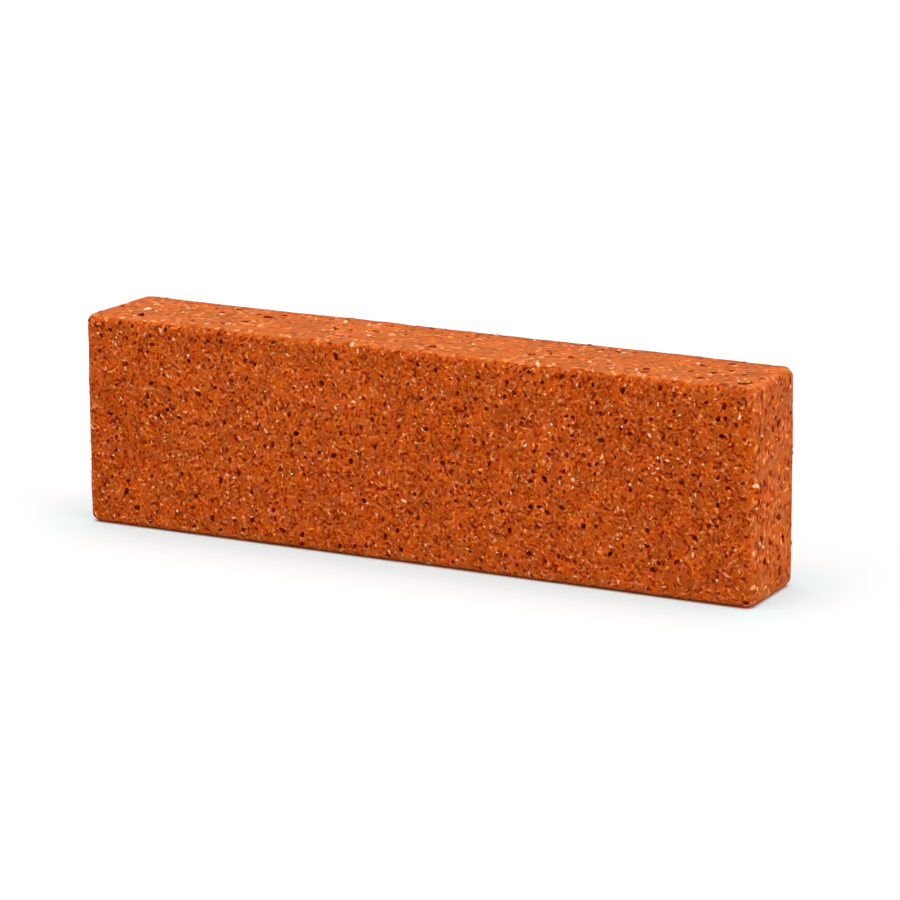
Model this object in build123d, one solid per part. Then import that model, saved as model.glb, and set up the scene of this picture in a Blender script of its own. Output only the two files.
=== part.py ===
from build123d import *
import os

# A slim solid facing brick of fired red clay, standing on its long narrow bed.
# It is one pressed block: flat faces, no holes and no frog, with every arris rounded.
# Lengths are millimetres. X runs along the brick, Y from the show face to the back,
# and Z up. The origin is the centre of the foot, on the floor.

# Overall size
length = 200.0
height = 59.0
thickness = 28.0

# Arrises. Those round the two beds are rounded in the mould. The four upright ones
# are handled and rubbed more, and are rounder than the beds by the corner wear.
bed_arris_radius = 2.6
corner_wear = 0.6


def block():
    """The pressed block: its plan with worn corners, drawn up to the full height."""
    upright_arris_radius = bed_arris_radius + corner_wear
    plan = RectangleRounded(length, thickness, upright_arris_radius)
    return extrude(plan, height)


def round_beds(brick):
    """Rounds the arrises that run right round the foot and the top bed."""
    levels = brick.edges().group_by(Axis.Z)
    foot_edges, top_edges = levels[0], levels[-1]
    return fillet(foot_edges + top_edges, bed_arris_radius)


def clay_brick():
    return round_beds(block())


os.makedirs("parts", exist_ok=True)
export_step(clay_brick(), "parts/clay_brick.step")
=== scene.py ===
# %% [markdown]
# # A clay brick
# This lesson dresses a slim facing brick of fired red clay, which stands on its long narrow bed.
# The solid block is already built at its real size, and it arrives here as a fixed frame. We load it,
# set up a camera and soft light, and then make the skin that shows: a block with worn arrises, real
# pits, hard white and dark grains in its face, and a clay that changes colour from grain to grain.

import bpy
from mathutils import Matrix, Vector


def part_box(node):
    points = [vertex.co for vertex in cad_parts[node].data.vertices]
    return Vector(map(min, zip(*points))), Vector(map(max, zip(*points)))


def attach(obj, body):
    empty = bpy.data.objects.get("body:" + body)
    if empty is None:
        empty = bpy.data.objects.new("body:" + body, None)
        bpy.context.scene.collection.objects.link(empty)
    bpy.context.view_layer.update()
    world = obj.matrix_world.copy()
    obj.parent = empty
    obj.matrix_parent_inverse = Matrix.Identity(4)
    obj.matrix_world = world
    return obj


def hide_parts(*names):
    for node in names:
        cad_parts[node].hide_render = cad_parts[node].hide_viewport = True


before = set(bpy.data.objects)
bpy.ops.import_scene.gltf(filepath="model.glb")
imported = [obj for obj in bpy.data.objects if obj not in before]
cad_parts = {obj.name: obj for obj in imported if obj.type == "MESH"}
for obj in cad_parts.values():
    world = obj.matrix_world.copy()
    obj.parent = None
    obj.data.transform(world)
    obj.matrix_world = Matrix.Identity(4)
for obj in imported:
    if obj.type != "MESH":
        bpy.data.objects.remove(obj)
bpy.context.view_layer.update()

# %% Tools
import math

import bmesh
import bpy
import numpy as np
from mathutils import Quaternion, Vector, noise

# %% [markdown]
# ## Sizes
# Everything here is in metres, so lengths are written as a number times `mm`. The overall size is read
# from the frame and not typed again. The two arris radii are the ones that the solid was rounded with:
# the arrises round the beds come from the mould, and the four upright ones are rubbed a little rounder.

# %% Sizes of the block
mm = 0.001
low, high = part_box("clay_brick")
half_size = np.array(high - low) / 2
centre = np.array(high + low) / 2
bed_arris = 2.6 * mm
corner_wear = 0.6 * mm
upright_arris = bed_arris + corner_wear
print("Length, thickness and height in mm:", np.round(half_size * 2 / mm, 2))

# %% [markdown]
# ## Camera
# The picture was taken with a long lens from the right of the show face and a little above it. The
# angles, the distance and the lens come from fitting the block's edges to the ones in the picture.
# A long lens far away keeps the edges nearly parallel. The slight roll is a camera held not quite level.

# %% Camera
camera_azimuth = math.radians(27.43)
camera_elevation = math.radians(14.58)
camera_roll = math.radians(-0.5)
camera_distance = 1179.4 * mm
camera_aim = Vector((5.8 * mm, 0, 28.95 * mm))
lens_length = 176.76
sensor_side = 36.0


def add_camera():
    """Places the camera on its arm: out from the aim point by azimuth, elevation and distance."""
    data = bpy.data.cameras.new("camera")
    data.lens = lens_length
    data.sensor_width = sensor_side
    camera = bpy.data.objects.new("camera", data)
    bpy.context.scene.collection.objects.link(camera)
    level = math.cos(camera_elevation)
    arm = Vector((
        math.sin(camera_azimuth) * level,
        -math.cos(camera_azimuth) * level,
        math.sin(camera_elevation),
    ))
    camera.location = camera_aim + arm * camera_distance
    camera.rotation_mode = "QUATERNION"
    upright_view = (-arm).to_track_quat("-Z", "Y")
    camera.rotation_quaternion = upright_view @ Quaternion((0, 0, 1), camera_roll)
    bpy.context.scene.camera = camera
    return camera


camera = add_camera()
print("The camera stands at", [round(x, 3) for x in camera.location])

# %% [markdown]
# ## Node helpers
# A material in Blender is a graph of nodes. Small helpers keep the graph code short. `put` adds a node and
# fills its inputs, from values or from other nodes' outputs, `feed` fills the inputs of a node that is
# there already, and `work` adds one sum.

# %% Node helpers
def fill(tree, socket, value):
    """Gives a socket a value, or links it to another node's output."""
    if isinstance(value, bpy.types.NodeSocket):
        tree.links.new(value, socket)
    else:
        socket.default_value = value


def feed(tree, node, **inputs):
    """Fills inputs of a node. Each is named as on the node, with _ in place of each space."""
    for name, value in inputs.items():
        fill(tree, node.inputs[name.replace("_", " ")], value)


def put(tree, kind, settings=None, **inputs):
    """Adds a node with its settings and fills its inputs."""
    node = tree.nodes.new(kind)
    for name, value in (settings or {}).items():
        setattr(node, name, value)
    feed(tree, node, **inputs)
    return node


def work(tree, operation, *values, clamp=False):
    """Adds a Math node for one sum and returns its output."""
    node = put(tree, "ShaderNodeMath", {"operation": operation, "use_clamp": clamp})
    for socket, value in zip(node.inputs, values):
        fill(tree, socket, value)
    return node.outputs[0]


def vector_work(tree, operation, *values):
    """Adds a Vector Math node. Lengths, distances and dot products come out as one number."""
    node = put(tree, "ShaderNodeVectorMath", {"operation": operation})
    for socket, value in zip(node.inputs, values):
        fill(tree, socket, value)
    one_number = operation in ("LENGTH", "DISTANCE", "DOT_PRODUCT")
    return node.outputs["Value" if one_number else "Vector"]


def ramp(tree, value, start, end, out_start=0.0, out_end=1.0):
    """Smoothly maps a value from one range to another, and holds it at the ends."""
    settings = {"interpolation_type": "SMOOTHSTEP"}
    node = put(tree, "ShaderNodeMapRange", settings, Value=value)
    for socket, number in zip(node.inputs[1:5], (start, end, out_start, out_end)):
        fill(tree, socket, number)
    return node.outputs["Result"]


def blend(tree, share, first, second):
    """Mixes two colours: all first at 0, all second at 1."""
    node = put(tree, "ShaderNodeMix", {"data_type": "RGBA"})
    for name, value in (("Factor_Float", share), ("A_Color", first), ("B_Color", second)):
        socket = next(s for s in node.inputs if s.identifier == name)
        fill(tree, socket, value)
    return next(s for s in node.outputs if s.identifier == "Result_Color")


def seen_directly(tree):
    """1 where something is seen by the camera, in a reflection or through glass, and 0 where it lights."""
    path = put(tree, "ShaderNodeLightPath")
    seen = work(tree, "MAXIMUM", path.outputs["Is Camera Ray"], path.outputs["Is Glossy Ray"])
    return work(tree, "MAXIMUM", seen, path.outputs["Is Transmission Ray"])


def on_screen(red, green, blue):
    """A colour written as a screen shows it, from 0 to 255, as the linear colour that nodes use."""
    def linear(part):
        part = part / 255
        return part / 12.92 if part <= 0.04045 else ((part + 0.055) / 1.055) ** 2.4
    return (linear(red), linear(green), linear(blue), 1.0)


def new_material(name):
    """An empty material with its Principled BSDF linked to the output."""
    material = bpy.data.materials.new(name)
    material.use_nodes = True
    tree = material.node_tree
    tree.nodes.clear()
    shader = tree.nodes.new("ShaderNodeBsdfPrincipled")
    output = tree.nodes.new("ShaderNodeOutputMaterial")
    tree.links.new(shader.outputs["BSDF"], output.inputs["Surface"])
    return material, tree, shader


def new_group(name, inputs, outputs):
    """A node group with named sockets. Returns its tree, its inputs by name, and its output node."""
    tree = bpy.data.node_groups.new(name, "ShaderNodeTree")
    kinds = {"Vector": "NodeSocketVector", "Color": "NodeSocketColor"}
    for in_out, names in (("INPUT", inputs), ("OUTPUT", outputs)):
        for socket in names:
            kind = kinds.get(socket, "NodeSocketFloat")
            tree.interface.new_socket(name=socket, in_out=in_out, socket_type=kind)
    entry = tree.nodes.new("NodeGroupInput")
    result = tree.nodes.new("NodeGroupOutput")
    return tree, {name: entry.outputs[name] for name in inputs}, result


def place(tree, group, **inputs):
    """Puts a node group in a material with that material's own values."""
    return put(tree, "ShaderNodeGroup", {"node_tree": group}, **inputs)

# %% [markdown]
# ## Floor
# The brick stands on a plain white sweep. A floor is only a flat mesh, but it has to be far larger than
# the view so that no edge shows. It must still catch the soft shadow at the foot of the brick, so its
# white is a real surface colour. Only where it is seen directly, part of that white is a steady glow,
# which burns the far paper out and keeps the shadow light. Paper close to the brick is also reddened by
# the light that the clay throws on it. The picture's paper was graded neutral, so it is tinted back.
# Right under the rounded foot arris hardly any light comes in, and the clay reddens what does. There the
# paper is painted orange-red, a painted reflection of the clay, and its glow is left out, a painted
# contact shadow that gives the thin dark line on which the brick stands.

# %% Floor
floor_reach = 6.0
floor_squares = 8
floor_white = (0.72, 0.72, 0.72, 1.0)
paper_in_view = (0.50, 0.50, 0.50, 1.0)
near_paper_in_view = (0.42, 0.50, 0.51, 1.0)
glow_in_view = 0.40
redness_reach = 24 * mm
# Paper colour right under the foot, a painted red reflection of the clay.
painted_red_bounce_under_foot = (0.95, 0.50, 0.28, 1.0)
foot_shade, open_paper = 1.3 * mm, 2.9 * mm
paper_grain = 2.0 * mm
smoothest_paper, roughest_paper = 0.9, 1.0


def floor_material():
    """Matt paper, with a faint grain in its roughness."""
    material, tree, shader = new_material("white_paper")
    where = put(tree, "ShaderNodeTexCoord").outputs["Object"]
    grain = put(tree, "ShaderNodeTexNoise", Vector=where, Scale=1 / paper_grain)
    roughness = ramp(tree, grain.outputs["Fac"], 0, 1, smoothest_paper, roughest_paper)
    core = tuple(half_size - upright_arris)
    past_core = vector_work(tree, "SUBTRACT", vector_work(tree, "ABSOLUTE", where), core)
    gap = vector_work(tree, "LENGTH", vector_work(tree, "MAXIMUM", past_core, (0, 0, 0)))
    neutral = ramp(tree, gap, upright_arris, upright_arris + redness_reach)
    in_view = blend(tree, neutral, near_paper_in_view, paper_in_view)
    # Under the foot the paper is painted orange-red and loses its glow, a painted contact shadow.
    open_share = ramp(tree, gap, foot_shade, open_paper)
    in_view = blend(tree, open_share, painted_red_bounce_under_foot, in_view)
    glow = work(tree, "MULTIPLY", open_share, glow_in_view)
    seen = seen_directly(tree)
    feed(tree, shader, Base_Color=blend(tree, seen, floor_white, in_view), Roughness=roughness)
    feed(tree, shader, Emission_Strength=work(tree, "MULTIPLY", seen, glow))
    feed(tree, shader, Emission_Color=(1, 1, 1, 1), Specular_IOR_Level=0.0)
    return material


def add_floor():
    """A flat grid on the ground under the brick."""
    mesh = bpy.data.meshes.new("floor")
    shape = bmesh.new()
    bmesh.ops.create_grid(shape, x_segments=floor_squares, y_segments=floor_squares, size=floor_reach)
    shape.to_mesh(mesh)
    shape.free()
    mesh.materials.append(floor_material())
    floor = bpy.data.objects.new("floor", mesh)
    floor.location.z = low.z
    bpy.context.scene.collection.objects.link(floor)


add_floor()
print("The floor reaches", floor_reach, "m each way")

# %% [markdown]
# ## Light
# The picture has almost no shadow. The top bed is the brightest side, the end comes next and the show
# face is darkest. So the light comes from wide softboxes: a strong one overhead, one low on the right,
# and a weak one in front on the left, which sends a faint shadow back past both ends. We use suns as
# wide as softboxes, because a sun lights the far floor as evenly as the brick. The world only fills in.

# %% Light
world_level = 0.30
softbox_angle = math.radians(60)
suns = {
    "overhead": {"toward": Vector((0.0, 0.0, 1.0)), "strength": 2.45},
    "side": {"toward": Vector((1.0, -0.10, 0.12)), "strength": 1.92},
    "front_left": {"toward": Vector((-0.56, -0.66, 0.50)), "strength": 0.67},
}


def add_world():
    """An even white surround. Seen directly it is plain white."""
    world = bpy.data.worlds.new("studio")
    world.use_nodes = True
    tree = world.node_tree
    tree.nodes.clear()
    strength = ramp(tree, seen_directly(tree), 0, 1, world_level, 1.0)
    surround = put(tree, "ShaderNodeBackground", Color=(1, 1, 1, 1), Strength=strength)
    output = tree.nodes.new("ShaderNodeOutputWorld")
    tree.links.new(surround.outputs["Background"], output.inputs["Surface"])
    bpy.context.scene.world = world


def add_sun(name, toward, strength):
    """A wide sun that shines from the given way, as evenly on the far floor as on the brick."""
    data = bpy.data.lights.new(name, "SUN")
    data.angle = softbox_angle
    data.energy = strength
    lamp = bpy.data.objects.new(name, data)
    lamp.rotation_mode = "QUATERNION"
    lamp.rotation_quaternion = toward.to_track_quat("Z", "Y")
    lamp.location = toward
    bpy.context.scene.collection.objects.link(lamp)


add_world()
for name, sun in suns.items():
    add_sun(name, **sun)
bpy.context.scene.view_settings.view_transform = "Standard"
print("Suns:", list(suns))

# %% [markdown]
# ## The block as a grid
# A real brick is never a perfect box, and its arrises are worn. To bend and dent it we need a fine,
# even grid of faces. We could subdivide a cube, but then the arrises would get no more faces than the
# flats. So we choose the grid lines ourselves: even steps on each flat, and even angles round each
# arris. The points first lie on a sharp box, and are then moved onto the rounded block.

# %% Grid lines
grid_step = 1.4 * mm
arris_steps = 4


def grid_lines(half_side, arris):
    """Places across one side: even on the flat, and at even angles up to the middle of each arris."""
    flat = half_side - arris
    count = round(2 * flat / grid_step)
    turns = [math.radians(45) * step / arris_steps for step in range(1, arris_steps + 1)]
    rounded = [flat + arris * math.tan(turn) for turn in turns]
    return [-x for x in reversed(rounded)] + list(np.linspace(-flat, flat, count + 1)) + rounded


arris_of_axis = (upright_arris, upright_arris, bed_arris)
lines = [np.array(grid_lines(half_size[axis], arris_of_axis[axis])) for axis in range(3)]
print("Grid lines along X, Y and Z:", [len(line) for line in lines])

# %% Points and faces of the sharp box
def box_grid(lines):
    """The points and four-sided faces on the outside of a lattice of grid lines, without doubles."""
    shape = [len(line) for line in lines]
    steps = np.indices(shape)
    outside = np.zeros(shape, bool)
    for axis in range(3):
        outside |= (steps[axis] == 0) | (steps[axis] == shape[axis] - 1)
    number = np.full(shape, -1)
    number[outside] = np.arange(outside.sum())
    points = np.stack([lines[axis][steps[axis][outside]] for axis in range(3)], axis=1)
    faces = []
    for axis in range(3):
        for end in (0, -1):
            side = np.take(number, end, axis=axis)
            corners = (side[:-1, :-1], side[1:, :-1], side[1:, 1:], side[:-1, 1:])
            quads = np.stack(corners, axis=-1).reshape(-1, 4)
            inward = (end == 0) != (axis == 1)
            faces.append(quads[:, ::-1] if inward else quads)
    return points, np.concatenate(faces)


sharp_points, block_faces = box_grid(lines)
print("The grid has", len(sharp_points), "points and", len(block_faces), "faces")

# %% [markdown]
# ## Rounding
# The rounded block is everything within one bed radius of a slightly smaller core. The core's plan has
# corners of its own, rounded by the corner wear, and that makes the upright arrises rounder than the
# bed ones. Each grid point looks up the nearest place on the core and moves to one radius from it.
# The direction of that move is the way out of the surface, which the dents and grains use later.

# %% Rounding
def onto_block(points):
    """Moves points of the sharp box onto the rounded block. Also returns the way out at each one."""
    core = points.copy()
    reach = half_size[2] - bed_arris
    core[:, 2] = np.clip(points[:, 2], -reach, reach)
    flat_plan = half_size[:2] - upright_arris
    inner = np.clip(points[:, :2], -flat_plan, flat_plan)
    away = points[:, :2] - inner
    distance = np.linalg.norm(away, axis=1, keepdims=True)
    core[:, :2] = inner + away * np.minimum(1, corner_wear / np.maximum(distance, corner_wear))
    outward = points - core
    outward /= np.linalg.norm(outward, axis=1, keepdims=True)
    return core + outward * bed_arris, outward


block_points, block_outward = onto_block(sharp_points)
print("Farthest point from the middle in mm:", np.round(np.abs(block_points).max(axis=0) / mm, 2))

# %% [markdown]
# ## Dents and wear
# Wet clay sags a little and drags on the mould, so the faces have low waves and a fine unevenness. The
# arrises lose more, because hands and other bricks rub them. Both are noise, read at each point's own
# place, so neighbours move together. Dents and wear only ever go inwards.

# %% Dents and wear
sag_length, sag_depth = 26 * mm, 0.16 * mm
drag_length, drag_depth = 5.5 * mm, 0.10 * mm
chafe_length, chafe_depth = 5.0 * mm, 0.26 * mm


def arris_share(outward):
    """0 on a flat face, 1 in the middle of an arris."""
    flattest = np.abs(outward).max(axis=1)
    return np.clip((1 - flattest) / (1 - math.sqrt(0.5)), 0, 1)


def inward_dents(points, wear):
    """How deep, in metres, each point lies below the clean block."""
    dents = np.empty(len(points))
    for i, point in enumerate(points):
        sag = noise.noise(Vector(point / sag_length))
        drag = noise.fractal(Vector(point / drag_length), 1.0, 2.0, 2)
        chafe = 0.5 + noise.noise(Vector(point / chafe_length))
        dents[i] = sag_depth * (0.5 + sag) + drag_depth * (0.5 + drag)
        dents[i] += chafe_depth * max(chafe, 0) * wear[i]
    return np.maximum(dents, 0)


arris_wear = arris_share(block_outward)
dents = inward_dents(block_points, arris_wear)
skin_points = block_points - block_outward * dents[:, None]
print("Dents run to", round(dents.max() / mm, 2), "mm, and", round(dents.mean() / mm, 2), "mm on average")

# %% Skin mesh
def mesh_of(name, points, faces, material):
    """A mesh object from arrays of points and faces, with one material."""
    mesh = bpy.data.meshes.new(name)
    mesh.from_pydata(points.tolist(), [], faces.tolist())
    mesh.materials.append(material)
    piece = bpy.data.objects.new(name, mesh)
    bpy.context.scene.collection.objects.link(piece)
    return piece


fired_clay, clay_tree, clay_shader = new_material("brick_clay")
shaded_pit_clay, pit_tree, pit_shader = new_material("shaded_pit_clay")
pale_grain, pale_tree, pale_shader = new_material("pale_grain")
dark_grain, dark_tree, dark_shader = new_material("dark_grain")
brick = mesh_of("brick", skin_points + centre, block_faces, fired_clay)
print("The skin has", len(brick.data.polygons), "faces")

# %% [markdown]
# ## Pits and grains
# The face of this brick is full of small things: pits where something burnt out in the kiln, hard pale
# grains of crushed brick and quartz, and dark grains rich in iron. Most are about 1 mm across, and a few
# reach 4 mm in length. Painting them would look flat from close by, so these are real: small uneven
# lumps are strewn over the block, and are then cut out of the skin or joined to it. The random numbers
# are seeded, so every run strews them the same way.

# %% Kinds of pits and grains
seed = 41
side_names = ("left_end", "right_end", "show_face", "back_face", "foot_bed", "top_bed")
growth = dict(left_end=1.3, right_end=1.3, show_face=1.0, back_face=1.0, foot_bed=1.0, top_bed=1.6)
kinds = {
    "pits": {
        "per_cm2": 3.4, "width": 0.98 * mm, "spread": 0.26, "widest": 1.5 * mm, "longest": 1.8,
        "thick": 1.5, "sunk": -0.05, "curl": 0.3, "beside": 0.0, "material": shaded_pit_clay,
        "detail": 2,
        "amount": dict(show_face=1.0, back_face=0.9, right_end=0.7, left_end=0.7,
                       top_bed=0.15, foot_bed=0.4),
    },
    "dark_grains": {
        "per_cm2": 2.4, "width": 0.80 * mm, "spread": 0.26, "widest": 1.3 * mm, "longest": 2.3,
        "thick": 0.7, "sunk": 0.72, "curl": 0.5, "beside": 0.35, "material": dark_grain,
        "detail": 1,
        "amount": dict(show_face=1.0, back_face=1.0, right_end=0.7, left_end=0.7,
                       top_bed=0.6, foot_bed=0.0),
    },
    "pale_grains": {
        "per_cm2": 3.4, "width": 0.74 * mm, "spread": 0.24, "widest": 1.15 * mm, "longest": 2.4,
        "thick": 0.8, "sunk": 0.60, "curl": 0.6, "beside": 0.35, "material": pale_grain,
        "detail": 1,
        "amount": dict(show_face=1.0, back_face=1.0, right_end=0.7, left_end=0.7,
                       top_bed=0.5, foot_bed=0.0),
    },
}
print("Kinds:", list(kinds))

# %% [markdown]
# ## Lumps given one by one
# Chance alone would leave out the pits and grains that the eye remembers, so some are listed before
# the rest are strewn. Where one was found in the picture, its pixel is noted. The show face is
# flat, and four corners fix how a flat face lies in a picture, so they also turn such a pixel into a
# place on the face. The others are given in millimetres: along X, and up from the foot. Each then
# gets a width and a length, in millimetres too.

# %% Pixels of the picture
face_corners = {
    "left_top": {"pixel": (88.5, 320.0), "place": (-1, 1)},
    "right_top": {"pixel": (751.5, 386.5), "place": (1, 1)},
    "right_foot": {"pixel": (751.5, 604.5), "place": (1, -1)},
    "left_foot": {"pixel": (93.0, 517.5), "place": (-1, -1)},
}
seen_pits = {
    "near_right_top": (715, 417),
    "right_upper": (673, 441),
    "right_middle": (663, 487),
    "far_right_middle": (725, 484),
    "far_right_lower": (706, 521),
    "middle_upper": (452, 408),
    "right_of_middle": (586, 462),
    "left_upper": (152, 356),
    "left_upper_twin": (165, 368),
    "left_of_middle": (256, 367),
}
seen_grains = {
    "left_top": (177, 344),
    "middle_top": (489, 390),
    "right_of_middle": (528, 413),
    "right_of_middle_twin": (548, 423),
    "left_middle": (305, 452),
    "right_of_middle_top": (541, 394),
    "middle_upper": (434, 411),
}


def face_mapping():
    """The perspective mapping from a pixel to X and height on the show face, in millimetres."""
    length, height = 2 * half_size[0] / mm, 2 * half_size[2] / mm
    rows = []
    places = []
    for corner in face_corners.values():
        across, down = corner["pixel"]
        x = corner["place"][0] * length / 2
        up = (corner["place"][1] + 1) * height / 2
        rows.append((across, down, 1, 0, 0, 0, -x * across, -x * down))
        rows.append((0, 0, 0, across, down, 1, -up * across, -up * down))
        places += [x, up]
    return np.append(np.linalg.solve(np.array(rows), np.array(places)), 1).reshape(3, 3)


mapping = face_mapping()


def seen_at(pixel):
    """X and height of a pixel on the show face, to a tenth of a millimetre."""
    x, up, depth = mapping @ (*pixel, 1)
    return round(x / depth, 1), round(up / depth, 1)


pit_at = {name: seen_at(pixel) for name, pixel in seen_pits.items()}
grain_at = {name: seen_at(pixel) for name, pixel in seen_grains.items()}
print("Pits seen at", pit_at)
print("Pale grains seen at", grain_at)

# %% Lumps given one by one
by_hand = {
    "pits": (
        (91.6, 53.0, 1.4, 1.6),
        (*pit_at["near_right_top"], 1.5, 1.8),
        (95.0, 48.7, 1.3, 1.5),
        (*pit_at["right_upper"], 1.3, 1.7),
        (*pit_at["right_middle"], 1.4, 1.6),
        (*pit_at["far_right_middle"], 1.2, 1.6),
        (*pit_at["far_right_lower"], 1.2, 1.5),
        (*pit_at["middle_upper"], 1.3, 1.6),
        (*pit_at["right_of_middle"], 1.2, 1.4),
        (54.6, 55.0, 1.1, 1.5),
        (*pit_at["left_upper"], 1.2, 1.3),
        (*pit_at["left_upper_twin"], 1.0, 1.3),
        (*pit_at["left_of_middle"], 1.1, 1.4),
        (-98.4, 57.4, 1.1, 1.4), (-98.3, 1.5, 1.3, 1.6), (98.2, 1.6, 1.4, 2.0),
        (-88.0, 57.6, 1.4, 1.6), (-84.0, 57.0, 1.2, 1.3), (-91.0, 55.2, 1.2, 1.4), (-94.0, 53.4, 1.3, 1.7),
        (-86.0, 53.6, 1.3, 1.6), (-83.2, 52.4, 1.0, 1.2), (-78.4, 54.8, 1.1, 1.4), (-73.5, 57.0, 1.2, 1.5),
        (-93.0, 47.2, 1.1, 1.3), (-60.2, 55.2, 1.2, 1.5),
    ),
    "pale_grains": (
        (-96.6, 56.2, 1.0, 1.2), (-94.9, 56.4, 0.7, 1.0), (-92.4, 57.9, 0.9, 1.1),
        (*grain_at["left_top"], 1.2, 1.6),
        (-89.2, 53.2, 0.8, 1.3),
        (*grain_at["middle_top"], 0.8, 1.0),
        (*grain_at["right_of_middle"], 0.8, 1.0),
        (*grain_at["right_of_middle_twin"], 0.7, 1.0),
        (*grain_at["left_middle"], 0.9, 1.0),
        (*grain_at["right_of_middle_top"], 0.8, 1.0),
        (*grain_at["middle_upper"], 0.8, 0.9),
        (-80.0, 2.6, 1.1, 1.3),
    ),
}
print("Put by hand:", {name: len(places) for name, places in by_hand.items()})

# %% [markdown]
# ## Strewing
# A place is drawn on a random spot of a side, with a random width and length. It is kept only if it
# stays clear of all lumps of its own kind, and is drawn again if not. Some grains are drawn right beside
# a lump of an earlier kind, because a hard grain often tears a pit open next to it as the clay shrinks.
# The top bed and the ends were cut by a wire, which drags the grains along, so their lumps are larger.

# %% Strewing
lump_unevenness = 0.22
clearance = 0.04 * mm
edge_margin = 1.2 * mm


def sides():
    """The axis, the end and the area of each side of the block, by its name."""
    found = []
    for axis in range(3):
        across = [a for a in range(3) if a != axis]
        area = 4 * half_size[across[0]] * half_size[across[1]]
        found += [(axis, -1, area), (axis, 1, area)]
    return dict(zip(side_names, found))


def random_lump(kind, axis, end, grow, rng, hosts):
    """One lump on a side: its place, the way out, its half width, its half length and its box spot."""
    width = grow * min(kind["width"] * math.exp(rng.normal(0, kind["spread"])), kind["widest"])
    length = width * rng.uniform(1.0, kind["longest"])
    spot = rng.uniform(edge_margin - half_size, half_size - edge_margin)
    if hosts and rng.random() < kind["beside"]:
        host = hosts[rng.integers(len(hosts))]
        step = rng.normal(size=3)
        step[axis] = 0
        spot = host[4] + step / np.linalg.norm(step) * (host[2] + width / 2)
        spot = np.clip(spot, -half_size, half_size)
    spot[axis] = end * half_size[axis]
    place, outward = onto_block(spot[None])
    return place[0], outward[0], width / 2, length / 2, spot


def clear_of(lump, others):
    """Whether a lump keeps its distance from all the others."""
    if not others:
        return True
    places = np.array([other[0] for other in others])
    reaches = np.array([other[3] for other in others])
    distances = np.linalg.norm(places - lump[0], axis=1)
    return bool(np.all(distances > (reaches + lump[3]) * (1 + lump_unevenness) + clearance))


def placed_lump(x, height, width, length):
    """A lump given on the show face, from its place and size in millimetres."""
    spot = np.array([x * mm, -half_size[1], height * mm - half_size[2]])
    place, outward = onto_block(spot[None])
    return place[0], outward[0], width * mm / 2, length * mm / 2, spot


def strew(kind, rng, earlier, kept):
    """Adds lumps of one kind over all sides to those kept."""
    block_sides = sides()
    for side, amount in kind["amount"].items():
        axis, end, area = block_sides[side]
        wanted = round(kind["per_cm2"] * amount * area / (10 * mm) ** 2)
        hosts = [lump for lump in earlier if lump[4][axis] == end * half_size[axis]]
        while wanted > 0:
            lump = random_lump(kind, axis, end, growth[side], rng, hosts)
            if clear_of(lump, kept):
                kept.append(lump)
                wanted -= 1
    return kept


rng = np.random.default_rng(seed)
strewn = {}
for name, kind in kinds.items():
    earlier = [lump for found in strewn.values() for lump in found]
    first = [placed_lump(*numbers) for numbers in by_hand.get(name, ())]
    strewn[name] = strew(kind, rng, earlier, first)
    print(name, "strewn:", len(strewn[name]))

# %% [markdown]
# ## Lumps
# Every pit and grain starts from the same ball of faces. Pushing each of its corners in or out at
# random turns it into a broken stone. It is stretched and curled along the surface, grains are flattened
# across it and pits deepened, and each is set so that only the right share of it stands above the skin.
# Their lengths lean a little toward one slant. Large pits get more faces, because their hollows show.

# %% Lumps
fine_lump = 1.15 * mm
slant = Vector((0.80, 0.0, 0.60))
slant_pull = 0.5
thinnest, thickest = 0.8, 1.25
curl_middle = 0.4


def unit_ball(subdivisions):
    """Corners and triangles of a ball of radius 1."""
    shape = bmesh.new()
    bmesh.ops.create_icosphere(shape, subdivisions=subdivisions, radius=1.0)
    corners = np.array([corner.co[:] for corner in shape.verts])
    triangles = np.array([[corner.index for corner in face.verts] for face in shape.faces])
    shape.free()
    return corners, triangles


def on_skin(places):
    """The places on the dented skin nearest to places on the clean block."""
    return np.array([brick.closest_point_on_mesh(Vector(place + centre))[1] for place in places])


def shape_lumps(kind, found, subdivisions, rng):
    """Corners and triangles of uneven lumps at all the places found."""
    corners, triangles = unit_ball(subdivisions)
    places, outward, half_width, half_length, _ = (np.array(part) for part in zip(*found))
    count = len(places)
    way = rng.normal(size=(count, 3))
    way /= np.linalg.norm(way, axis=1, keepdims=True)
    way = way * rng.choice((-1, 1), (count, 1)) + slant_pull * np.array(slant)
    way -= outward * np.sum(way * outward, axis=1, keepdims=True)
    along = way / np.linalg.norm(way, axis=1, keepdims=True)
    across = np.cross(outward, along)
    open_share = math.sqrt(1 - kind["sunk"] ** 2)
    size = np.stack([half_length, half_width, half_width * kind["thick"]], axis=1) / open_share
    size[:, 2] *= rng.uniform(thinnest, thickest, count)
    bulge = rng.uniform(1 - lump_unevenness, 1 + lump_unevenness, (count, len(corners), 1))
    local = corners[None] * bulge
    curl = rng.uniform(-kind["curl"], kind["curl"], (count, 1)) * (half_length / half_width)[:, None]
    local[:, :, 1] += curl * (local[:, :, 0] ** 2 - curl_middle)
    local *= size[:, None, :]
    local[:, :, 2] -= (kind["sunk"] * size[:, 2])[:, None]
    turned = local[:, :, 0:1] * along[:, None] + local[:, :, 1:2] * across[:, None]
    turned += local[:, :, 2:3] * outward[:, None] + on_skin(places)[:, None]
    numbers = triangles[None] + (np.arange(count) * len(corners))[:, None, None]
    return turned.reshape(-1, 3), numbers.reshape(-1, 3)


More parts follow.
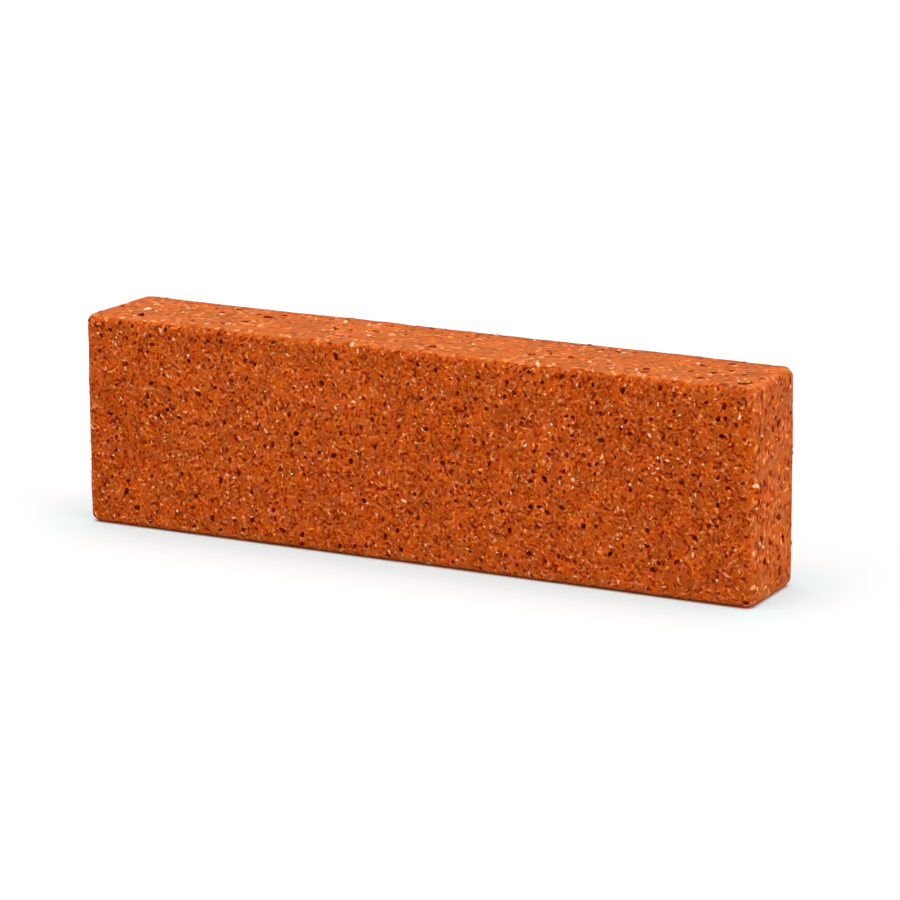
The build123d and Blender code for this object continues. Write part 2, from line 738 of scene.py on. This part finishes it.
def make_lumps(name, kind, found, rng):
    """One mesh of all the lumps of a kind. The kind says how finely its large ones are made."""
    small = [lump for lump in found if lump[3] * 2 < fine_lump]
    large = [lump for lump in found if lump[3] * 2 >= fine_lump]
    small_points, small_faces = shape_lumps(kind, small, 1, rng)
    large_points, large_faces = shape_lumps(kind, large, kind["detail"], rng)
    points = np.concatenate([small_points, large_points])
    faces = np.concatenate([small_faces, large_faces + len(small_points)])
    return mesh_of(name, points, faces, kind["material"])


tools = {name: make_lumps(name, kinds[name], found, rng) for name, found in strewn.items()}
for name, tool in tools.items():
    print(name, "mesh has", len(tool.data.polygons), "triangles")

# %% [markdown]
# ## Cutting and joining
# A boolean cuts the pits out of the skin and joins the grains to it. The manifold solver is fast and
# keeps the skin closed, as long as no two lumps in one mesh cross. That is why each lump was given
# elbow room. Each cut face keeps the material of the lump that made it.

# %% Cutting and joining
def combine(body, tool, operation):
    """Cuts a mesh out of the body or joins it on, and throws the tool away."""
    step = body.modifiers.new(tool.name, "BOOLEAN")
    step.solver = "MANIFOLD"
    step.operation = operation
    step.material_mode = "TRANSFER"
    step.object = tool
    graph = bpy.context.evaluated_depsgraph_get()
    made = bpy.data.meshes.new_from_object(body.evaluated_get(graph), depsgraph=graph)
    made.name = body.data.name
    body.modifiers.clear()
    body.data = made
    bpy.data.objects.remove(tool)


combine(brick, tools["pale_grains"], "UNION")
combine(brick, tools["dark_grains"], "UNION")
combine(brick, tools["pits"], "DIFFERENCE")
print("The brick has", len(brick.data.polygons), "faces and", [m.name for m in brick.data.materials])

# %% [markdown]
# ## Shading and surface marks
# The skin is shaded smooth, but the rims of pits and the broken faces of grains stay crisp, so every
# edge sharper than a set angle is marked sharp. The material needs to know where the arrises are, which
# way a face looks, and where the clay meets a pit or a grain, since the clay round a pit gets a painted
# highlight and the clay round a grain a painted shade. All are written on the mesh as values, one for
# each point.

# %% Shading and surface marks
crisp_angle = math.radians(34)


def mesh_points(mesh):
    """All points of a mesh as an array, measured from the middle of the block."""
    flat = np.empty(len(mesh.vertices) * 3, np.float32)
    mesh.vertices.foreach_get("co", flat)
    return flat.reshape(-1, 3).astype(float) - centre


def mesh_faces(mesh):
    """The point numbers of all face corners, and where each face starts and how many corners it has."""
    corners = np.empty(len(mesh.loops), np.int64)
    mesh.loops.foreach_get("vertex_index", corners)
    starts = np.empty(len(mesh.polygons), np.int64)
    counts = np.empty(len(mesh.polygons), np.int64)
    mesh.polygons.foreach_get("loop_start", starts)
    mesh.polygons.foreach_get("loop_total", counts)
    return corners, starts, counts


def rim_values(mesh):
    """1 where the clay meets a pit, -1 where it meets a grain, and 0 elsewhere."""
    corners, _, counts = mesh_faces(mesh)
    finish_of_face = np.empty(len(mesh.polygons), np.int64)
    mesh.polygons.foreach_get("material_index", finish_of_face)
    finish_of_corner = np.repeat(finish_of_face, counts)
    touched = {}
    for number, material in enumerate(mesh.materials):
        touched[material.name] = np.zeros(len(mesh.vertices), bool)
        touched[material.name][corners[finish_of_corner == number]] = True
    in_clay = touched["brick_clay"]
    rim = np.zeros(len(mesh.vertices))
    rim[in_clay & (touched["pale_grain"] | touched["dark_grain"])] = -1
    rim[in_clay & touched["shaded_pit_clay"]] = 1
    return rim


def way_out(points):
    """The way out of the clean block at the place nearest to each point."""
    box_points = points.copy()
    closest = np.argmax(np.abs(points) - half_size, axis=1)
    rows = np.arange(len(points))
    box_points[rows, closest] = np.sign(points[rows, closest]) * half_size[closest]
    return onto_block(box_points)[1]


def write_mark(mesh, name, values):
    """Stores one number for each point under a name that materials can read."""
    mark = mesh.attributes.new(name, "FLOAT", "POINT")
    mark.data.foreach_set("value", values.astype(np.float32))


brick.data.shade_smooth()
brick.data.set_sharp_from_angle(angle=crisp_angle)
skin_outward = way_out(mesh_points(brick.data))
write_mark(brick.data, "arris", arris_share(skin_outward))
write_mark(brick.data, "bed", skin_outward[:, 2] ** 2)
write_mark(brick.data, "end", skin_outward[:, 0] ** 2)
write_mark(brick.data, "rim", rim_values(brick.data))
print("Marked", len(skin_outward), "points")

# %% [markdown]
# ## Unwrapping
# A brick unfolds like a carton: six flat panels with half an arris on every edge. Each face goes to the
# panel that it lies nearest to, and its place on the panel is measured along the surface, round the
# arris too, so nothing stretches.

# %% Unwrapping
panel_gap = 2.0 * mm
map_side = 238 * mm
least_depth = 0.2 * mm
panels = ((1, -1), (1, 1), (2, -1), (2, 1), (0, -1), (0, 1))


def unrolled(points, axis, other):
    """Distance along the surface from a panel's middle, in the direction of the other axis."""
    arris = arris_of_axis[other]
    flat = half_size[other] - arris
    over = np.abs(points[:, other]) - flat
    depth = np.maximum(np.abs(points[:, axis]) - (half_size[axis] - arris), least_depth)
    turned = flat + arris * np.arctan2(np.maximum(over, 0), depth)
    return np.sign(points[:, other]) * np.where(over > 0, turned, np.abs(points[:, other]))


def panel_size(axis):
    """How wide and high a panel is on the map."""
    across = [a for a in range(3) if a != axis]
    return [2 * (half_size[a] - arris_of_axis[a] * (1 - math.pi / 4)) for a in across]


def unwrap(mesh):
    """Writes the carton map."""
    points = mesh_points(mesh)
    corners, starts, counts = mesh_faces(mesh)
    middles = np.add.reduceat(points[corners], starts) / counts[:, None]
    axis_of_face = np.argmax(np.abs(middles) - half_size, axis=1)
    end_of_face = np.sign(middles[np.arange(len(middles)), axis_of_face])
    axis_of_corner = np.repeat(axis_of_face, counts)
    end_of_corner = np.repeat(end_of_face, counts)
    places = np.zeros((len(corners), 2))
    row_base = panel_gap
    end_base = panel_gap
    for axis, end in panels:
        mine = (axis_of_corner == axis) & (end_of_corner == end)
        across = [a for a in range(3) if a != axis]
        wide, tall = panel_size(axis)
        here = points[corners[mine]]
        left = panel_gap
        base = row_base
        if axis == 0:
            left = 2 * panel_gap + panel_size(1)[0]
            base = end_base
            end_base += tall + panel_gap
        else:
            row_base += tall + panel_gap
        places[mine, 0] = left + wide / 2 + unrolled(here, axis, across[0])
        places[mine, 1] = base + tall / 2 + unrolled(here, axis, across[1])
    carton = mesh.uv_layers.new(name="OFBake")
    carton.data.foreach_set("uv", (places / map_side).astype(np.float32).ravel())
    return places.max(axis=0)


print("The map is", np.round(unwrap(brick.data) / mm, 1), "mm wide and high")

# %% [markdown]
# ## An end out of square
# A wire seldom cuts wet clay quite square. In the picture the top edge of the left end runs in toward
# the back, and the top bed rises a hair there. The mesh is finished and mapped, so it is enough to slide
# its points: those near that corner move inwards and a little up. The move fades out along the brick and
# down the end to the foot, so the end leans as one straight cut and nothing folds over.

# %% End out of square
skew_depth = 4.4 * mm
skew_reach = 30 * mm
skew_fade = 2 * half_size[2]
skew_rise = 0.45 * mm
rise_reach = 120 * mm


def slide_corner(mesh):
    """Draws the back top corner of the left end inwards and a little up."""
    points = mesh_points(mesh)
    near_end = np.clip(1 - (points[:, 0] + half_size[0]) / skew_reach, 0, 1)
    near_top = np.clip(1 - (half_size[2] - points[:, 2]) / skew_fade, 0, 1)
    to_back = (points[:, 1] + half_size[1]) / (2 * half_size[1])
    rising = np.clip(1 - (points[:, 0] + half_size[0]) / rise_reach, 0, 1)
    points[:, 0] += skew_depth * near_end ** 2 * (3 - 2 * near_end) * near_top * to_back
    points[:, 2] += skew_rise * rising * near_top * to_back
    mesh.vertices.foreach_set("co", (points + centre).astype(np.float32).ravel())
    mesh.update()


slide_corner(brick.data)
print("The corner moves in by", round(skew_depth / mm, 1), "mm and up by", round(skew_rise / mm, 2), "mm")

# %% [markdown]
# ## Kiln mottle
# The clay wasn't mixed or fired quite evenly, so its tone drifts over a few millimetres and again over
# a few centimetres. We add noises of different sizes into one number, the tone, and let a colour ramp
# turn tone into colour. This keeps all the colours in one family, from burnt brown to pale orange.

# %% Kiln mottle group
def mottle_group():
    """Tone from 0, burnt, over 0.5, to 1, pale: noise at three sizes, each with its own weight."""
    inputs = ("Vector", "Cloud mm", "Cloud", "Patch mm", "Patch", "Grain mm", "Grain")
    tree, given, result = new_group("kiln_mottle", inputs, ("Tone",))
    total = 0.5
    for name in ("Cloud", "Patch", "Grain"):
        scale = work(tree, "DIVIDE", 1 / mm, given[name + " mm"])
        texture = put(tree, "ShaderNodeTexNoise", Vector=given["Vector"], Scale=scale, Detail=0.0)
        centred = work(tree, "SUBTRACT", texture.outputs["Fac"], 0.5)
        part = work(tree, "MULTIPLY", centred, given[name])
        total = work(tree, "ADD", total, part)
    feed(tree, result, Tone=total)
    return tree


kiln_mottle = mottle_group()
print("Group", kiln_mottle.name, "is ready")

# %% [markdown]
# ## Crushed grains
# Between the large grains the clay is packed with finer ones, some pale and some dark, shaped like rice
# and commas. They are too many to model, so they are painted. A Voronoi texture hands out one random
# colour for each cell of space, and we read that colour as the grain's direction, size and strength.
# The grain itself is the space near the cell's middle, measured with a ruler that is bent and squeezed.

# %% Crushed grains group
cell_randomness = 0.9
crosswise = (0.4, 0.5, 0.8)
thinnest_grain, widest_grain = 0.3, 0.6
size_draw, share_draw, tone_draw = 23.0, 31.0, 41.0


def grains_group():
    """Value from -1, a dark grain, to 1, a pale one. Mask is 1 on any grain."""
    inputs = ("Vector", "Spacing mm", "Width mm", "Length", "Curl", "Share")
    tree, given, result = new_group("crushed_grains", inputs, ("Value", "Mask"))
    scale = work(tree, "DIVIDE", 1 / mm, given["Spacing mm"])
    cells = put(tree, "ShaderNodeTexVoronoi", Vector=given["Vector"], Scale=scale,
                Randomness=cell_randomness)
    from_middle = vector_work(tree, "SUBTRACT", given["Vector"], cells.outputs["Position"])
    offset = vector_work(tree, "MULTIPLY", from_middle, (1 / mm, 1 / mm, 1 / mm))
    swing = vector_work(tree, "SUBTRACT", cells.outputs["Color"], (0.5, 0.5, 0.5))
    along = vector_work(tree, "NORMALIZE", swing)
    across = vector_work(tree, "NORMALIZE", vector_work(tree, "CROSS_PRODUCT", along, crosswise))
    reach = vector_work(tree, "DOT_PRODUCT", offset, along)
    bend = work(tree, "MULTIPLY", work(tree, "MULTIPLY", reach, reach), given["Curl"])
    bent = vector_work(tree, "SUBTRACT", offset, scaled(tree, across, bend))
    spare = work(tree, "SUBTRACT", 1.0, work(tree, "DIVIDE", 1.0, given["Length"]))
    squeeze = scaled(tree, along, work(tree, "MULTIPLY", reach, spare))
    distance = vector_work(tree, "LENGTH", vector_work(tree, "SUBTRACT", bent, squeeze))
    parts = put(tree, "ShaderNodeSeparateColor", Color=cells.outputs["Color"])
    size = ramp(tree, drawn(tree, parts.outputs["Green"], size_draw), 0, 1, thinnest_grain, widest_grain)
    half_width = work(tree, "MULTIPLY", given["Width mm"], size)
    body = ramp(tree, distance, half_width, 0.0)
    there = work(tree, "LESS_THAN", drawn(tree, parts.outputs["Blue"], share_draw), given["Share"])
    mask = work(tree, "MULTIPLY", body, there)
    draw = work(tree, "SUBTRACT", drawn(tree, parts.outputs["Red"], tone_draw), 0.5)
    strength = work(tree, "ADD", draw, work(tree, "MULTIPLY", work(tree, "SIGN", draw), 0.5))
    feed(tree, result, Value=work(tree, "MULTIPLY", mask, strength), Mask=mask)
    return tree


def scaled(tree, vector, factor):
    """A vector made longer or shorter by a factor."""
    node = put(tree, "ShaderNodeVectorMath", {"operation": "SCALE"}, Scale=factor)
    fill(tree, node.inputs[0], vector)
    return node.outputs["Vector"]


def drawn(tree, value, mix):
    """A fresh random number from 0 to 1, drawn from the far digits of another."""
    return work(tree, "FRACT", work(tree, "MULTIPLY", value, mix))


crushed_grains = grains_group()
print("Group", crushed_grains.name, "is ready")

# %% [markdown]
# ## Torn strokes
# The mould dragged the wet clay up into small torn lips and laid them down again. They show as short
# curved strokes. Where a smooth noise passes its middle value it draws long winding lines. A second
# noise breaks those into strokes, and its sign makes some pale and some dark.

# %% Torn strokes group
other_noise = (0.31, 0.17, 0.23)
breaks_per_line = 1.7
gap_softness = 0.06


def strokes_group():
    """Value from -1, a dark crack, to 1, a pale torn edge."""
    inputs = ("Vector", "Size mm", "Width", "Gap")
    tree, given, result = new_group("torn_strokes", inputs, ("Value",))
    elsewhere = vector_work(tree, "ADD", given["Vector"], other_noise)
    scale = work(tree, "DIVIDE", 1 / mm, given["Size mm"])
    lines = put(tree, "ShaderNodeTexNoise", Vector=given["Vector"], Scale=scale, Detail=0.0)
    closer = work(tree, "MULTIPLY", scale, breaks_per_line)
    breaks = put(tree, "ShaderNodeTexNoise", Vector=elsewhere, Scale=closer, Detail=0.0)
    off_line = work(tree, "SUBTRACT", lines.outputs["Fac"], 0.5)
    lean = work(tree, "SUBTRACT", breaks.outputs["Fac"], 0.5)
    line = ramp(tree, work(tree, "ABSOLUTE", off_line), given["Width"], 0.0)
    past_gap = work(tree, "ADD", given["Gap"], gap_softness)
    strong = ramp(tree, work(tree, "ABSOLUTE", lean), given["Gap"], past_gap)
    sign = work(tree, "MULTIPLY", work(tree, "SIGN", lean), strong)
    feed(tree, result, Value=work(tree, "MULTIPLY", line, sign))
    return tree


torn_strokes = strokes_group()
print("Group", torn_strokes.name, "is ready")

# %% [markdown]
# ## Grit
# Every surface here, clay or stone, is rough at a scale finer than the mesh. One shared group gives a
# height for the bump and a roughness that follows it.

# %% Grit group
def grit_group():
    """Height from 0 to 1, and a roughness that is higher in the hollows."""
    inputs = ("Vector", "Size mm", "Roughness", "Change")
    tree, given, result = new_group("grit", inputs, ("Height", "Roughness"))
    scale = work(tree, "DIVIDE", 1 / mm, given["Size mm"])
    texture = put(tree, "ShaderNodeTexNoise", Vector=given["Vector"], Scale=scale, Detail=2.0)
    height = texture.outputs["Fac"]
    centred = work(tree, "SUBTRACT", 0.5, height)
    change = work(tree, "MULTIPLY", centred, given["Change"])
    feed(tree, result, Height=height, Roughness=work(tree, "ADD", given["Roughness"], change))
    return tree


grit = grit_group()
print("Group", grit.name, "is ready")

# %% [markdown]
# ## Fired clay
# All of it comes together here. Mottle, grains and strokes set the tone, and the tone picks the colour.
# Anything small that stands in slanting light is pale on one side and dark on the other. So the marks
# are read twice, the second time a small step away, and that second reading is taken from the first. A
# noise turns the step from place to place, and weak marks are held back so that plain clay shows between
# the strong ones. More noises multiply the colour: one from cool to hot firing, one from vivid orange to
# a greyer mauve, and one from rosy to olive. The beds and ends, which the wire cut, are a little paler,
# partly from kiln dust and partly as a painted sheen, and their marks are coarser. Both changes follow a
# wavy line along each arris. Each arris gets a painted highlight on its bed and end side, the clay round
# a pit a painted highlight, and the clay round a grain a painted shade. The foot is darker, a painted
# contact shade, with a band of painted light just above it. The back rim of the beds, and more faintly
# of the ends, gets a painted shade.

# %% Fired clay
clay_colours = (
    (0.08, on_screen(108, 17, 0)),
    (0.24, on_screen(143, 41, 0)),
    (0.37, on_screen(167, 60, 7)),
    (0.47, on_screen(186, 76, 16)),
    (0.56, on_screen(200, 89, 26)),
    (0.68, on_screen(207, 101, 38)),
    (0.83, on_screen(225, 125, 62)),
    (1.00, on_screen(250, 178, 118)),
)
vivid_tint = (1.05, 0.98, 0.50, 1.0)
mauve_tint = (0.95, 1.01, 1.56, 1.0)
# Pale colour of the beds and ends, partly kiln dust and partly a painted sheen.
dust_and_sheen_colour = on_screen(208, 130, 76)
rosy_tint = (1.03, 0.96, 1.02, 1.0)
olive_tint = (0.98, 1.04, 0.94, 1.0)
cool_tint = (0.87, 0.87, 0.90, 1.0)
hot_tint = (1.13, 1.13, 1.10, 1.0)
# How much of that dust and painted sheen the beds and ends get.
dust_and_sheen_share = 0.32
cut_scale = 0.6
waver_length, lean_length = 4 * mm, 2.5 * mm
heat_length, hue_length = 4.2 * mm, 3.4 * mm
drift = dict(Cloud_mm=22.0, Cloud=0.06, Patch_mm=3.0, Patch=0.11, Grain_mm=1.2, Grain=0.20)
coarse_grains = dict(Spacing_mm=2.0, Width_mm=1.50, Length=2.0, Curl=0.6, Share=0.45)
fine_grains = dict(Spacing_mm=1.45, Width_mm=1.15, Length=2.0, Curl=0.9, Share=0.55)
stroke_shape = dict(Size_mm=2.0, Width=0.17, Gap=0.07)
stroke_weight = 1.1
weak_mark, strong_mark = 0.2, 1.25
face_contrast, bed_contrast = 0.204, 0.25
# Tones of a painted highlight along the arrises and round pits, and of a painted shade round grains.
arris_highlight_tone, pit_highlight_tone, grain_shade_tone = 0.10, 0.08, -0.12
# A painted contact shade, darker towards the foot.
contact_shade_height, contact_shade_full, contact_shade_tone = 1.3 * mm, 0.3 * mm, -0.36
# Painted light, a paler band low on the brick just above the contact shade.
foot_light_height, foot_light_full, foot_light_tone = 3.6 * mm, 1.7 * mm, 0.075
# Painted shade along the back rim of the beds, fainter on the ends.
back_shade_from, back_shade_full, back_shade_tone = half_size[1] - 6.6 * mm, half_size[1] - 3.6 * mm, -0.12
back_shade_share_of_ends = 0.25
clay_grit = dict(Size_mm=0.7, Roughness=0.85, Change=0.5)
bump_height = 0.13 * mm
shade_step = 0.65 * mm
shade_share = 0.9
clay_shine = 0.05


def colour_of_tone(tree, tone, colours):
    """A colour ramp from a list of tones and their colours."""
    node = put(tree, "ShaderNodeValToRGB", Fac=tone)
    stops = node.color_ramp.elements
    while len(stops) < len(colours):
        stops.new(0.5)
    for stop, (position, colour) in zip(stops, colours):
        stop.position = position
        stop.color = colour
    return node.outputs["Color"]


def mark(tree, name):
    """A value written on the mesh."""
    return put(tree, "ShaderNodeAttribute", {"attribute_name": name}).outputs["Fac"]


def small_marks(tree, where):
    """Grains and strokes together, and a mask of the bodies of the grains."""
    coarse = place(tree, crushed_grains, Vector=where, **coarse_grains)
    fine = place(tree, crushed_grains, Vector=where, **fine_grains)
    strokes = place(tree, torn_strokes, Vector=where, **stroke_shape)
    grains = work(tree, "ADD", coarse.outputs["Value"], fine.outputs["Value"])
    bodies = work(tree, "ADD", coarse.outputs["Mask"], fine.outputs["Mask"])
    weighed = work(tree, "MULTIPLY", strokes.outputs["Value"], stroke_weight)
    return work(tree, "ADD", grains, weighed), bodies


def dress_clay(tree, shader):
    """The finish of the faces and arrises."""
    place_on_brick = put(tree, "ShaderNodeTexCoord").outputs["Object"]
    bed, end, arris, rim = (mark(tree, name) for name in ("bed", "end", "arris", "rim"))
    facing_out = work(tree, "MAXIMUM", bed, work(tree, "MULTIPLY", end, 0.9))
    wave = put(tree, "ShaderNodeTexNoise", Vector=place_on_brick, Scale=1 / waver_length, Detail=1.0)
    waver = work(tree, "SUBTRACT", wave.outputs["Fac"], 0.5)
    is_cut = work(tree, "GREATER_THAN", work(tree, "ADD", facing_out, waver), 0.5)
    where = scaled(tree, place_on_brick, ramp(tree, is_cut, 0, 1, 1.0, cut_scale))
    mottle = place(tree, kiln_mottle, Vector=where, **drift)
    lean = put(tree, "ShaderNodeTexNoise", Vector=where, Scale=1 / lean_length, Detail=0.0)
    lean = vector_work(tree, "SUBTRACT", lean.outputs["Color"], (0.5, 0.5, 0.5))
    step = scaled(tree, vector_work(tree, "NORMALIZE", lean), shade_step)
    marks, bodies = small_marks(tree, where)
    shade, _ = small_marks(tree, vector_work(tree, "ADD", where, step))
    relief = work(tree, "SUBTRACT", marks, work(tree, "MULTIPLY", shade, shade_share))
    only_strong = ramp(tree, work(tree, "ABSOLUTE", relief), 0, 0.9, weak_mark, strong_mark)
    contrast = ramp(tree, bed, 0.4, 0.6, face_contrast, bed_contrast)
    contrast = work(tree, "MULTIPLY", only_strong, contrast)
    tone = work(tree, "ADD", mottle.outputs["Tone"], work(tree, "MULTIPLY", relief, contrast))
    # A painted highlight on the bed and end side of each arris.
    on_arris = ramp(tree, facing_out, 0.45, 0.9)
    arris_highlight = work(tree, "MULTIPLY", on_arris, ramp(tree, arris, 0, 0.3, 0, arris_highlight_tone))
    # A painted highlight on the clay round each pit, and a painted shade on the clay round each grain.
    painted_pit_highlight = ramp(tree, rim, 0.6, 1.0, 0, pit_highlight_tone)
    painted_rim_light_and_shade = work(tree, "ADD", painted_pit_highlight, ramp(tree, rim, -0.6, -1.0, 0, grain_shade_tone))
    place_parts = put(tree, "ShaderNodeSeparateXYZ", Vector=place_on_brick).outputs
    # Painted contact shade: the clay is darker within about 1.3 mm of the foot.
    painted_contact_shade = ramp(tree, place_parts["Z"], contact_shade_height, contact_shade_full, 0, contact_shade_tone)
    # Painted light: a paler band just above the foot. Together with the contact shade it makes the foot's
    # painted light and shade.
    painted_foot_light = ramp(tree, place_parts["Z"], foot_light_height, foot_light_full, 0, foot_light_tone)
    painted_foot_light_and_shade = work(tree, "ADD", painted_contact_shade, painted_foot_light)
    # Painted shade along the back rim of the beds, and more faintly of the ends.
    painted_back_shade = ramp(tree, place_parts["Y"], back_shade_from, back_shade_full, 0, back_shade_tone)
    back_shaded_sides = work(tree, "ADD", bed, work(tree, "MULTIPLY", end, back_shade_share_of_ends))
    painted_back_shade = work(tree, "MULTIPLY", painted_back_shade, back_shaded_sides)
    # All the painted light and shade above, added to the tone.
    painted_light_and_shade = work(tree, "ADD", work(tree, "ADD", arris_highlight, painted_back_shade), work(tree, "ADD", painted_rim_light_and_shade, painted_foot_light_and_shade))
    tone = work(tree, "ADD", tone, painted_light_and_shade, clamp=True)
    colour = colour_of_tone(tree, tone, clay_colours)
    heat = put(tree, "ShaderNodeTexNoise", Vector=where, Scale=1 / heat_length, Detail=1.0)
    hue = put(tree, "ShaderNodeTexNoise", Vector=where, Scale=1 / hue_length, Detail=1.0, Roughness=0.6)
    draws = put(tree, "ShaderNodeSeparateColor", Color=hue.outputs["Color"])
    tint = blend(tree, ramp(tree, draws.outputs["Red"], 0.30, 0.70), vivid_tint, mauve_tint)
    turn = blend(tree, ramp(tree, draws.outputs["Green"], 0.32, 0.68), rosy_tint, olive_tint)
    fired = blend(tree, ramp(tree, heat.outputs["Fac"], 0.25, 0.75), cool_tint, hot_tint)
    tint = vector_work(tree, "MULTIPLY", vector_work(tree, "MULTIPLY", tint, turn), fired)
    colour = vector_work(tree, "MULTIPLY", colour, tint)
    # The beds and ends are paler, partly from kiln dust and partly as a painted sheen.
    wavy = work(tree, "ADD", work(tree, "ADD", work(tree, "MULTIPLY", end, 0.6), bed), waver)
    colour = blend(tree, ramp(tree, wavy, 0.35, 0.9, 0.0, dust_and_sheen_share), colour, dust_and_sheen_colour)
    rough = place(tree, grit, Vector=where, **clay_grit)
    height = work(tree, "ADD", bodies, rough.outputs["Height"])
    bump = put(tree, "ShaderNodeBump", Height=height, Distance=bump_height, Strength=1.0)
    feed(tree, shader, Base_Color=colour, Roughness=rough.outputs["Roughness"],
         Normal=bump.outputs["Normal"], Specular_IOR_Level=clay_shine)


dress_clay(clay_tree, clay_shader)
print("Fired clay uses", len(clay_tree.nodes), "nodes")

# %% [markdown]
# ## Finishes of pits and grains
# Inside a pit the clay is a dark red-brown, partly clay burnt in the kiln and partly painted shade of the
# hollow. The pale grains run from orange to cream, and change from one grain to the next. The dark
# grains are browner, and a little smoother than the clay, because the iron in them melted. Clay is
# smeared over the edge of each, so its colour fades there.

# %% Finishes of pits and grains
# Pit walls: burnt clay, darkened further as a painted shade of the hollow.
pit_colours_with_shade = (
    (0.25, on_screen(134, 30, 0)),
    (0.50, on_screen(156, 46, 4)),
    (0.75, on_screen(176, 68, 20)),
)
pale_colours = (
    (0.20, on_screen(228, 120, 54)),
    (0.45, on_screen(242, 153, 92)),
    (0.65, on_screen(252, 183, 126)),
    (0.85, on_screen(255, 226, 188)),
)
dark_colours = (
    (0.25, on_screen(96, 22, 0)),
    (0.50, on_screen(118, 38, 8)),
    (0.75, on_screen(136, 64, 32)),
)
smeared_clay = on_screen(166, 64, 16)


def dress_small(tree, shader, colours, tint_mm, roughness, bump_depth, shine, smear):
    """A finish whose colour changes from lump to lump, with grit of its own."""
    where = put(tree, "ShaderNodeTexCoord").outputs["Object"]
    mottle = place(tree, kiln_mottle, Vector=where, Cloud_mm=tint_mm * 4, Cloud=0.4, Patch_mm=tint_mm,
                   Patch=1.3, Grain_mm=tint_mm / 5, Grain=0.3)
    rough = place(tree, grit, Vector=where, Size_mm=0.35, Roughness=roughness, Change=0.4)
    bump = put(tree, "ShaderNodeBump", Height=rough.outputs["Height"], Distance=bump_depth)
    colour = colour_of_tone(tree, mottle.outputs["Tone"], colours)
    edge = ramp(tree, work(tree, "ABSOLUTE", mark(tree, "rim")), 0.15, 1.0, 0, smear)
    colour = blend(tree, edge, colour, smeared_clay)
    feed(tree, shader, Base_Color=colour, Roughness=rough.outputs["Roughness"],
         Normal=bump.outputs["Normal"], Specular_IOR_Level=shine)


dress_small(pit_tree, pit_shader, pit_colours_with_shade, tint_mm=2.2, roughness=0.9, bump_depth=0.08 * mm,
            shine=0.05, smear=0.75)
dress_small(pale_tree, pale_shader, pale_colours, tint_mm=2.0, roughness=0.7, bump_depth=0.04 * mm,
            shine=0.2, smear=0.15)
dress_small(dark_tree, dark_shader, dark_colours, tint_mm=2.4, roughness=0.8, bump_depth=0.05 * mm,
            shine=0.08, smear=0.6)
print("Finishes ready for", [m.name for m in brick.data.materials])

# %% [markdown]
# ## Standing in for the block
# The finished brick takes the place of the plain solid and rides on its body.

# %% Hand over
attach(brick, "root")
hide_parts("clay_brick")
